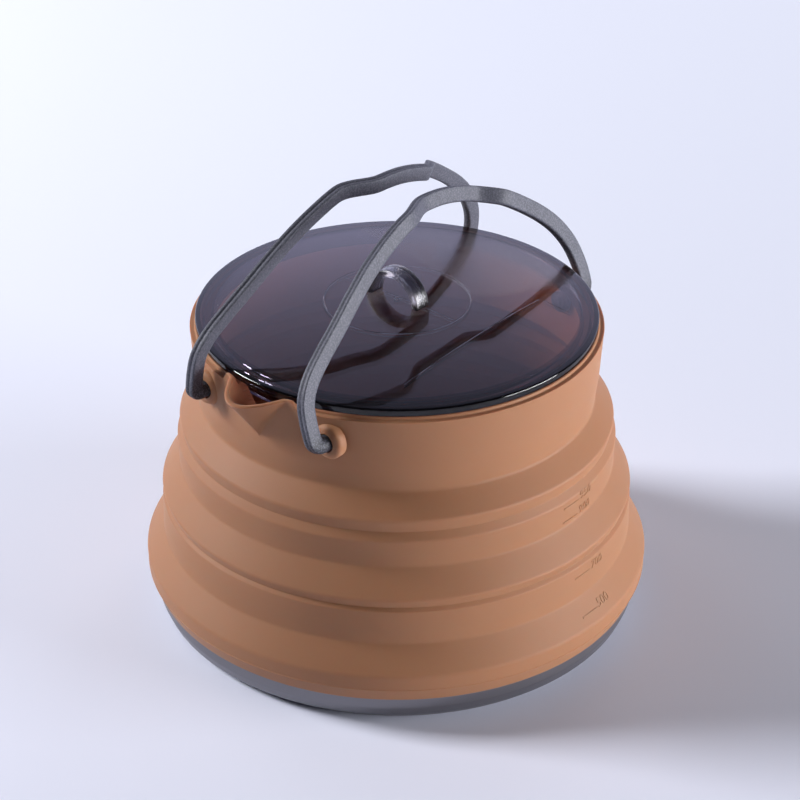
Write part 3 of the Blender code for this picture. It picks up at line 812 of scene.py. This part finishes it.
def wrap(item, height):
    """Wraps a flat mark in the XY plane round the wall, standing out along Z."""
    start = min(range(len(climbs)), key=lambda k: abs(wall_line[k][1] - height))
    for vert in item.data.vertices:
        along, up, out = vert.co / MM
        here, below, above = (along_line(climbs[start] + up + step, climbs, wall_line)
                              for step in (0.0, -LEAN_STEP, LEAN_STEP))
        lean = (above - below).normalized()
        r = here.x + lean.y * out
        bearing = MARK_BEARING + along / wall_line[start][0]
        z = here.y - lean.x * out
        vert.co = Vector((r * math.sin(bearing), -r * math.cos(bearing), z)) * MM


mark_pieces = []
for number, height in MARKS:
    clear_selection()
    bpy.ops.object.text_add()
    text = bpy.context.object
    text.data.body = number
    text.data.size = NUMBER_SIZE * MM
    text.data.extrude = MARK_RAISE * MM
    text.data.offset = NUMBER_SWELL * MM
    text.data.align_y = "CENTER"
    text.data.resolution_u = 4
    bpy.ops.object.convert(target="MESH")
    text = named("volume_mark_" + number)
    text.data.transform(Matrix.Translation((NUMBER_START * MM, 0, 0)))
    clear_selection()
    bpy.ops.mesh.primitive_cube_add(size=1, location=(LINE_LENGTH / 2 * MM, -LINE_DROP * MM, 0))
    line = bpy.context.object
    line_size = Vector((LINE_LENGTH, LINE_TALL, 2 * MARK_RAISE)) * MM
    line.data.transform(Matrix.Diagonal((*line_size, 1)))
    bpy.ops.object.transform_apply()
    pick(text, line)
    bpy.ops.object.join()
    bpy.ops.object.mode_set(mode="EDIT")
    bpy.ops.mesh.select_all(action="SELECT")
    bpy.ops.mesh.subdivide(number_cuts=2)
    bpy.ops.object.mode_set(mode="OBJECT")
    wrap(text, height)
    bpy.ops.object.mode_set(mode="EDIT")
    mark_pieces.append(seal(text))
print(len(mark_pieces), "volume marks")

# %% [markdown]
# ## Riding on the bodies
#
# The straight parts ride on one body each. The walls and the lowest mark ride on no body: their
# placing is only baked into their meshes.


def bend_between(item):
    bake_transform(item)


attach(pan, "base")
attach(collar, "collar")
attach(left_bail, "bail_left")
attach(right_bail, "bail_right")
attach(lid, "lid")
bend_between(lower_wall)
bend_between(middle_wall)
bend_between(upper_wall)
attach(mark_pieces[0], "middle_tier")
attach(mark_pieces[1], "middle_tier")
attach(mark_pieces[2], "lower_tier")
bend_between(mark_pieces[3])

# %% [markdown]
# ## Shared effects
#
# Two effects come back in several finishes: specks of dust, which settle on everything, and a
# slow unevenness of tone, which keeps a moulded surface from looking printed. Each is a node
# group with named inputs, built once and placed in each material with its own values.

# %% Node helpers
def link(source, target):
    """Links an output to an input; every socket knows the tree that it is in."""
    target.id_data.links.new(source, target)


def math_node(operation, *values, clamp=False):
    """A math node fed by numbers or sockets."""
    tree = next(value.id_data for value in values if hasattr(value, "id_data"))
    node = tree.nodes.new("ShaderNodeMath")
    node.operation = operation
    node.use_clamp = clamp
    for k, value in enumerate(values):
        if isinstance(value, (int, float)):
            node.inputs[k].default_value = value
        else:
            link(value, node.inputs[k])
    return node.outputs[0]


def times(first, second):
    return math_node("MULTIPLY", first, second)


def plus(first, *others, clamp=False):
    for other in others:
        first = math_node("ADD", first, other, clamp=clamp)
    return first


def minus(first, second):
    return math_node("SUBTRACT", first, second)


def mapped(value, given=(0.0, 1.0), wanted=(0.0, 1.0), soft=False):
    """A value between two limits moved to between two others, soft at both ends if asked."""
    node = value.id_data.nodes.new("ShaderNodeMapRange")
    node.interpolation_type = "SMOOTHSTEP" if soft else "LINEAR"
    link(value, node.inputs[0])
    for k, limit in enumerate((*given, *wanted)):
        node.inputs[k + 1].default_value = limit
    return node.outputs[0]


def fade(value, low, high):
    """0 below one value and 1 above the other, soft between."""
    return mapped(value, given=(low, high), soft=True)


def mixed(factor, first, second):
    """A colour mixed from two, each a colour or a socket."""
    node = factor.id_data.nodes.new("ShaderNodeMix")
    node.data_type = "RGBA"
    link(factor, node.inputs[0])
    for socket, value in ((node.inputs[6], first), (node.inputs[7], second)):
        if isinstance(value, tuple):
            socket.default_value = (*value, 1.0)
        else:
            link(value, socket)
    return node.outputs[2]


def object_place(tree):
    return tree.nodes.new("ShaderNodeTexCoord").outputs["Object"]


def parts_of(vector):
    """The x, y and z of a vector."""
    node = vector.id_data.nodes.new("ShaderNodeSeparateXYZ")
    link(vector, node.inputs[0])
    return node.outputs


def from_axis(x, y):
    """How far a place lies from the kettle's upright axis."""
    return math_node("SQRT", plus(times(x, x), times(y, y)))


def bumped(height, strength, distance):
    node = height.id_data.nodes.new("ShaderNodeBump")
    node.inputs["Strength"].default_value = strength
    node.inputs["Distance"].default_value = distance
    link(height, node.inputs["Height"])
    return node.outputs["Normal"]


def end_in_either(factor, first, second, end):
    """Ends a tree in one shader or the other, chosen by a factor."""
    node = factor.id_data.nodes.new("ShaderNodeMixShader")
    for socket, source in zip(node.inputs, (factor, first.outputs[0], second.outputs[0])):
        link(source, socket)
    link(node.outputs[0], end.inputs[0])


# %% Node groups
def new_group(name, inputs, outputs):
    """An empty shader group with the given sockets, and its two end nodes."""
    tree = bpy.data.node_groups.new(name, "ShaderNodeTree")
    for way, labels in (("INPUT", inputs), ("OUTPUT", outputs)):
        for label in labels:
            tree.interface.new_socket(name=label, in_out=way, socket_type="NodeSocketFloat")
    return tree, tree.nodes.new("NodeGroupInput"), tree.nodes.new("NodeGroupOutput")


def dust_group():
    """Mask of small bright specks: one in some cells of a scattered pattern."""
    tree, given, out = new_group("dust_specks", ["Scale", "Size", "Share"], ["Mask"])
    cells = tree.nodes.new("ShaderNodeTexVoronoi")
    link(object_place(tree), cells.inputs["Vector"])
    link(given.outputs["Scale"], cells.inputs["Scale"])
    pick_cell = tree.nodes.new("ShaderNodeSeparateColor")
    link(cells.outputs["Color"], pick_cell.inputs[0])
    chosen = math_node("LESS_THAN", pick_cell.outputs[0], given.outputs["Share"])
    size = times(pick_cell.outputs[1], given.outputs["Size"])
    near = math_node("LESS_THAN", cells.outputs["Distance"], size)
    link(times(chosen, near), out.inputs["Mask"])
    return tree


def tone_group():
    """Slow unevenness of tone from 0 to 1, and a fine grain for the surface's height."""
    tree, given, out = new_group("moulded_tone", ["Tone Scale", "Grain Scale"], ["Tone", "Grain"])
    place = object_place(tree)
    for label, detail in (("Tone", 4.0), ("Grain", 2.0)):
        noise = tree.nodes.new("ShaderNodeTexNoise")
        noise.inputs["Detail"].default_value = detail
        link(place, noise.inputs["Vector"])
        link(given.outputs[label + " Scale"], noise.inputs["Scale"])
        link(noise.outputs["Fac"], out.inputs[label])
    return tree


dust = dust_group()
tone = tone_group()


def new_material(name, **constants):
    """A Principled material with constants set on the shader's own sockets."""
    mat = bpy.data.materials.new(name)
    mat.use_nodes = True
    tree = mat.node_tree
    shader = tree.nodes["Principled BSDF"]
    for label, value in constants.items():
        shader.inputs[label.replace("_", " ")].default_value = value
    return mat, tree, shader


def place_group(tree, group, **values):
    node = tree.nodes.new("ShaderNodeGroup")
    node.node_tree = group
    for label, value in values.items():
        node.inputs[label.replace("_", " ")].default_value = value
    return node


def solid_surface(shader, slow, colour, specks, speck_colour, roughness, relief):
    """Feeds a solid finish: its colour under the dust, an uneven roughness and a fine relief."""
    dusty = mixed(specks.outputs["Mask"], colour, speck_colour)
    link(dusty, shader.inputs["Base Color"])
    link(mapped(slow.outputs["Tone"], wanted=roughness), shader.inputs["Roughness"])
    link(bumped(*relief), shader.inputs["Normal"])


print("groups", dust.name, tone.name)

# %% [markdown]
# ## Silicone
#
# The rubber is a matt terracotta with a cool bloom where light grazes it. A plain rough plastic
# looks dry, so a little sheen is added for the bloom and a little light is let in under the
# surface. The tone wanders slowly, and dust sits on it.

# %% Silicone finish
silicone, tree, shader = new_material(
    "terracotta_silicone", Roughness=0.6, Sheen_Weight=0.05, Sheen_Roughness=0.45,
    Specular_IOR_Level=0.32, Subsurface_Weight=0.35, Subsurface_Scale=0.003,
    Subsurface_Radius=(1.0, 0.4, 0.22))
slow = place_group(tree, tone, Tone_Scale=18.0, Grain_Scale=2600.0)
specks = place_group(tree, dust, Scale=95.0, Size=0.035, Share=0.45)
colour = mixed(slow.outputs["Tone"], (0.320, 0.146, 0.071), (0.352, 0.162, 0.079))
solid_surface(shader, slow, colour, specks, speck_colour=(0.62, 0.52, 0.46),
              roughness=(0.56, 0.66), relief=(slow.outputs["Grain"], 0.18, 0.00008))

# %% [markdown]
# ## Anodised aluminium
#
# The pan is metal under a thin dyed layer: dark, satin and slightly blue. It is a metal shader
# with a fairly rough surface; fine turning marks run round it, so the grain is stretched along
# the rim by reading the height and the distance from the axis only.

# %% Anodised finish
anodised, tree, shader = new_material("dyed_aluminium", Metallic=0.9, Roughness=0.42)
slow = place_group(tree, tone, Tone_Scale=30.0, Grain_Scale=3200.0)
specks = place_group(tree, dust, Scale=120.0, Size=0.03, Share=0.3)
colour = mixed(slow.outputs["Tone"], (0.195, 0.19, 0.205), (0.23, 0.225, 0.245))
x, y, z = parts_of(object_place(tree))
spot = tree.nodes.new("ShaderNodeCombineXYZ")
link(from_axis(x, y), spot.inputs[0])
link(z, spot.inputs[1])
rings = tree.nodes.new("ShaderNodeTexNoise")
rings.noise_dimensions = "2D"
rings.inputs["Scale"].default_value = 2500.0
link(spot.outputs[0], rings.inputs["Vector"])
solid_surface(shader, slow, colour, specks, speck_colour=(0.5, 0.5, 0.52),
              roughness=(0.36, 0.46), relief=(rings.outputs["Fac"], 0.12, 0.00005))

# %% [markdown]
# ## Grained nylon
#
# The bails are glass-filled nylon: mid grey, matt, with a fine sparkle of grain, and painted darker
# down in the hooks, painted shade. A plain grey looks like painted wire, so the grain both pales
# the colour and roughens the relief. The painted shade in the hooks follows the height above the
# pivots.

# %% Nylon finish
nylon, tree, shader = new_material("grained_nylon", Roughness=0.55, Specular_IOR_Level=0.4)
slow = place_group(tree, tone, Tone_Scale=60.0, Grain_Scale=2000.0)
specks = place_group(tree, dust, Scale=150.0, Size=0.035, Share=0.25)
grain = slow.outputs["Grain"]
z = parts_of(object_place(tree))[2]
# Painted shade: the hooks low down are painted near black, fading to the plain grey higher up.
colour = mixed(fade(z, 0.0885, 0.098), (0.016, 0.017, 0.021), (0.068, 0.069, 0.090))
sparkle = times(fade(grain, 0.44, 0.64), 0.36)
colour = mixed(sparkle, colour, (0.21, 0.21, 0.265))
solid_surface(shader, slow, colour, specks, speck_colour=(0.6, 0.6, 0.62),
              roughness=(0.5, 0.62), relief=(grain, 0.7, 0.00012))

# %% [markdown]
# ## Smoked plastic
#
# The lid is real see-through plastic: light bends in, loses most of its strength to the tint,
# and comes out again, so the silicone's ridges glow faintly through it. A ring over the skirt,
# where light goes through more plastic, is painted darker: painted shade. The very edge is painted
# near black, a painted dark reflection, and the finger loop is painted darker, painted shade in
# place of its bright bent light. The mould left a fine ring round the loop, a flow line and a gate
# mark in the middle, and two straight lines to the right; all are shallow grooves drawn by
# distance, painted near black as painted shade for the dark they reflect. The rear right is
# slightly frosted. Bent light seldom finds a lamp, which would leave the kettle's inside black, so
# shadows fall through the lid as through plain tinted film.

# %% Smoked finish
THIN_SMOKE = (0.45, 0.375, 0.41)
# Painted shade: a darker tint for the ring over the skirt.
SKIRT_PAINTED_SHADE = (0.15, 0.14, 0.20)
# Painted shade: a near-black edge, standing for the dark reflection in the rounded rim.
EDGE_PAINTED_SHADE = (0.03, 0.03, 0.04)
# Painted shade: a darker finger loop, in place of its bright bent light.
LOOP_PAINTED_SHADE = (0.12, 0.12, 0.15)
# Painted shade: near-black mould marks, for the dark their grooves reflect.
GROOVE_PAINTED_SHADE = (0.01, 0.01, 0.012)
SHADOW_FILM = (0.66, 0.58, 0.58, 1.0)
LOOP_REACH = 12.0
PANEL_FRONT, PANEL_FRONT_SLOPE = 21.8, 0.262
PANEL_SIDE, PANEL_SIDE_SLOPE = 11.8, 0.42
PANEL_CORNER = 12.0
PANEL_FADE = 0.4
PANEL_REACH = 59.5


def beside(value, place, half_width):
    """1 where a value in metres equals a place in millimetres, fading to 0 beside it."""
    distance = math_node("ABSOLUTE", minus(value, place * MM))
    return mapped(distance, given=(0.0, half_width * MM), wanted=(1.0, 0.0), soft=True)


def under(value, high):
    return math_node("LESS_THAN", value, high * MM)


def within(value, low, high):
    """1 between two places in millimetres and 0 outside."""
    return times(math_node("GREATER_THAN", value, low * MM), under(value, high))


def past(value, low, high):
    """0 below one place in millimetres and 1 above the other, soft between."""
    return fade(value, low * MM, high * MM)


smoked, tree, shader = new_material("smoked_lid_plastic", Metallic=0.0,
                                    Transmission_Weight=1.0, IOR=1.49)
x, y, z = parts_of(object_place(tree))
radius = from_axis(x, y)

ring = beside(radius, 22.8, 0.22)
gate = beside(radius, 0.9, 0.4)
flow = times(beside(y, 0.6, 0.2), within(radius, 1.4, 22.2))
tilted_x = plus(x, times(y, 0.03))
long_line = times(beside(tilted_x, 32.8, 0.2), within(y, -37.0, 30.5))
short_line = times(beside(y, 31.0, 0.2), within(x, 33.3, 43.6))
marks = plus(ring, flow, gate, long_line, short_line, clamp=True)

behind_front = minus(plus(y, times(x, PANEL_FRONT_SLOPE)), PANEL_FRONT * MM)
beside_side = minus(times(y, PANEL_SIDE_SLOPE), minus(x, PANEL_SIDE * MM))
inside = math_node("SMOOTH_MIN", behind_front, beside_side, PANEL_CORNER * MM)
panel = times(mapped(inside, given=(0.0, PANEL_FADE * MM)), under(radius, PANEL_REACH))

over_skirt = times(past(radius, 56.6, 57.2), minus(1.0, past(radius, 60.6, 61.2)))
raised = past(z, 105.4, 106.2)
# Painted shade: the ring over the skirt is painted darker than the plain tint.
tint_and_painted_shade = mixed(over_skirt, THIN_SMOKE, SKIRT_PAINTED_SHADE)
# Painted shade: the very edge is painted near black, a painted dark reflection.
tint_and_painted_shade = mixed(past(radius, 60.8, 61.2), tint_and_painted_shade, EDGE_PAINTED_SHADE)
# Painted shade: the finger loop is painted darker than the lid it is moulded with.
tint_and_painted_shade = mixed(times(raised, under(radius, LOOP_REACH)), tint_and_painted_shade, LOOP_PAINTED_SHADE)
# Painted shade: the mould marks are painted near black; their grooves are also bumped and rougher.
link(mixed(marks, tint_and_painted_shade, GROOVE_PAINTED_SHADE), shader.inputs["Base Color"])

specks = place_group(tree, dust, Scale=85.0, Size=0.03, Share=0.4).outputs["Mask"]
relief = minus(specks, times(marks, 1.5))
link(bumped(relief, 0.6, 0.0001), shader.inputs["Normal"])
rough = plus(times(panel, 0.16), times(marks, 0.05),
             times(specks, 0.6), times(raised, 0.22), 0.03, clamp=True)
link(rough, shader.inputs["Roughness"])

film = tree.nodes.new("ShaderNodeBsdfTransparent")
film.inputs["Color"].default_value = SHADOW_FILM
in_shadow = tree.nodes.new("ShaderNodeLightPath").outputs["Is Shadow Ray"]
end_in_either(in_shadow, shader, film, tree.nodes["Material Output"])

# %% Finishes on the pieces
finishes = [(pan, anodised, "anodised_aluminium"), (left_bail, nylon, "grey_nylon"),
            (right_bail, nylon, "grey_nylon"), (lid, smoked, "smoked_plastic")]
finishes += [(piece, silicone, "silicone")
             for piece in [lower_wall, middle_wall, upper_wall, collar] + mark_pieces]
for item, mat, slot_name in finishes:
    item.data.materials.clear()
    item.data.materials.append(mat)
    print(item.name, mat.name)

# %% [markdown]
# ## Floor, room and light
#
# The kettle stands on a pale, slightly blue table that shines by itself far off, where it turns
# into the backdrop. A tall soft lamp on the left throws the shadow to the right, and a low wide
# one lights the right-hand side; a weaker pair stands behind and is kept out of the lid's mirror
# image, where its hard edges would show. Lamps could be placed by their coordinates, but a
# photographer thinks in bearings, so each lamp is given by its bearing round the kettle, with 0
# towards the camera and 90 to the picture's right, and its height in degrees. The room is pale
# near the horizon behind the kettle and dim above, which is what the lid mirrors: bright at its
# far edge and dark towards the camera. The mirrored room is stronger and bluer than the one that
# lights the kettle.

# %% Table
BACKDROP = (0.81, 0.84, 0.99, 1.0)
picture_level = Vector((math.cos(AZIMUTH), math.sin(AZIMUTH), 0))
away = Vector((-math.sin(AZIMUTH), math.cos(AZIMUTH), 0))


def behind(x, y):
    """How far a place or a direction lies behind the kettle, seen from the camera."""
    return plus(times(x, away.x), times(y, away.y))


clear_selection()
bpy.ops.mesh.primitive_circle_add(vertices=128, radius=2.4, fill_type="NGON")
table = named("table")
table_finish, tree, shader = new_material("pale_table", Roughness=0.85, Specular_IOR_Level=0.25)
x, y, z = parts_of(object_place(tree))
# Painted shade: the table is darker towards the camera and paler behind the kettle, standing in for
# light falling off.
table_colour_and_painted_shade = mixed(fade(behind(x, y), -0.15, 0.5),
                     (0.76, 0.775, 0.895), (0.83, 0.85, 0.975))
link(table_colour_and_painted_shade, shader.inputs["Base Color"])
far_off = times(fade(from_axis(x, y), 0.62, 1.15),
                tree.nodes.new("ShaderNodeLightPath").outputs["Is Camera Ray"])
backdrop = tree.nodes.new("ShaderNodeEmission")
backdrop.inputs["Color"].default_value = BACKDROP
end_in_either(far_off, shader, backdrop, tree.nodes["Material Output"])
table.data.materials.append(table_finish)

# %% Lamps
LAMP_COLOUR = (0.975, 0.985, 1.02)
AIM = Vector((0, 0, 0.04))


def soft_lamp(name, bearing, height_angle, distance, wide, tall, power, in_mirror=True):
    """A soft lamp at a bearing and height in degrees, turned to the kettle, mirrored or not."""
    b, h = math.radians(bearing), math.radians(height_angle)
    level = picture_level * math.sin(b) - away * math.cos(b)
    towards = level * math.cos(h) + Vector((0, 0, math.sin(h)))
    clear_selection()
    bpy.ops.object.light_add(type="AREA", location=towards * distance + AIM,
                             rotation=towards.to_track_quat("Z", "Y").to_euler())
    lamp = bpy.context.object
    lamp.name = name
    lamp.data.shape = "RECTANGLE"
    lamp.data.size = wide
    lamp.data.size_y = tall
    lamp.data.energy = power
    lamp.data.color = LAMP_COLOUR
    lamp.visible_glossy = in_mirror
    return lamp


lamps = [
    soft_lamp("left_softbox", 261, 32, 1.9, 0.52, 0.65, 44.0),
    soft_lamp("right_softbox", 75, 6.5, 1.5, 0.95, 0.46, 35.5),
    soft_lamp("rear_right_softbox", 158, 11, 1.3, 0.5, 0.5, 3.3, in_mirror=False),
    soft_lamp("rear_left_softbox", 215, 11, 1.3, 0.5, 0.5, 2.6, in_mirror=False),
]
print("lamps", [lamp.name for lamp in lamps])

# %% Room
ROOM_DIM = 0.04
ROOM_PALE = 1.16
UNMIRRORED = 0.54
world = bpy.data.worlds.new("room")
bpy.context.scene.world = world
world.use_nodes = True
tree = world.node_tree
tree.nodes.clear()
x, y, z = parts_of(tree.nodes.new("ShaderNodeTexCoord").outputs["Generated"])
low_down = minus(1.0, fade(z, 0.22, 1.05))
glow = times(fade(behind(x, y), 0.25, 0.8), low_down)
seen = tree.nodes.new("ShaderNodeLightPath").outputs
mirrored = math_node("MAXIMUM", seen["Is Glossy Ray"], seen["Is Transmission Ray"])
level = times(mapped(glow, wanted=(ROOM_DIM, ROOM_PALE)),
              mapped(mirrored, wanted=(UNMIRRORED, 1.0)))
room = tree.nodes.new("ShaderNodeBackground")
link(mixed(mirrored, (0.86, 0.90, 1.0), (0.66, 0.68, 1.0)), room.inputs["Color"])
link(level, room.inputs["Strength"])
pale = tree.nodes.new("ShaderNodeBackground")
pale.inputs["Color"].default_value = BACKDROP
end_in_either(seen["Is Camera Ray"], room, pale, tree.nodes.new("ShaderNodeOutputWorld"))
bpy.context.scene.view_settings.view_transform = "Standard"
print("room from", ROOM_DIM, "to", ROOM_PALE)
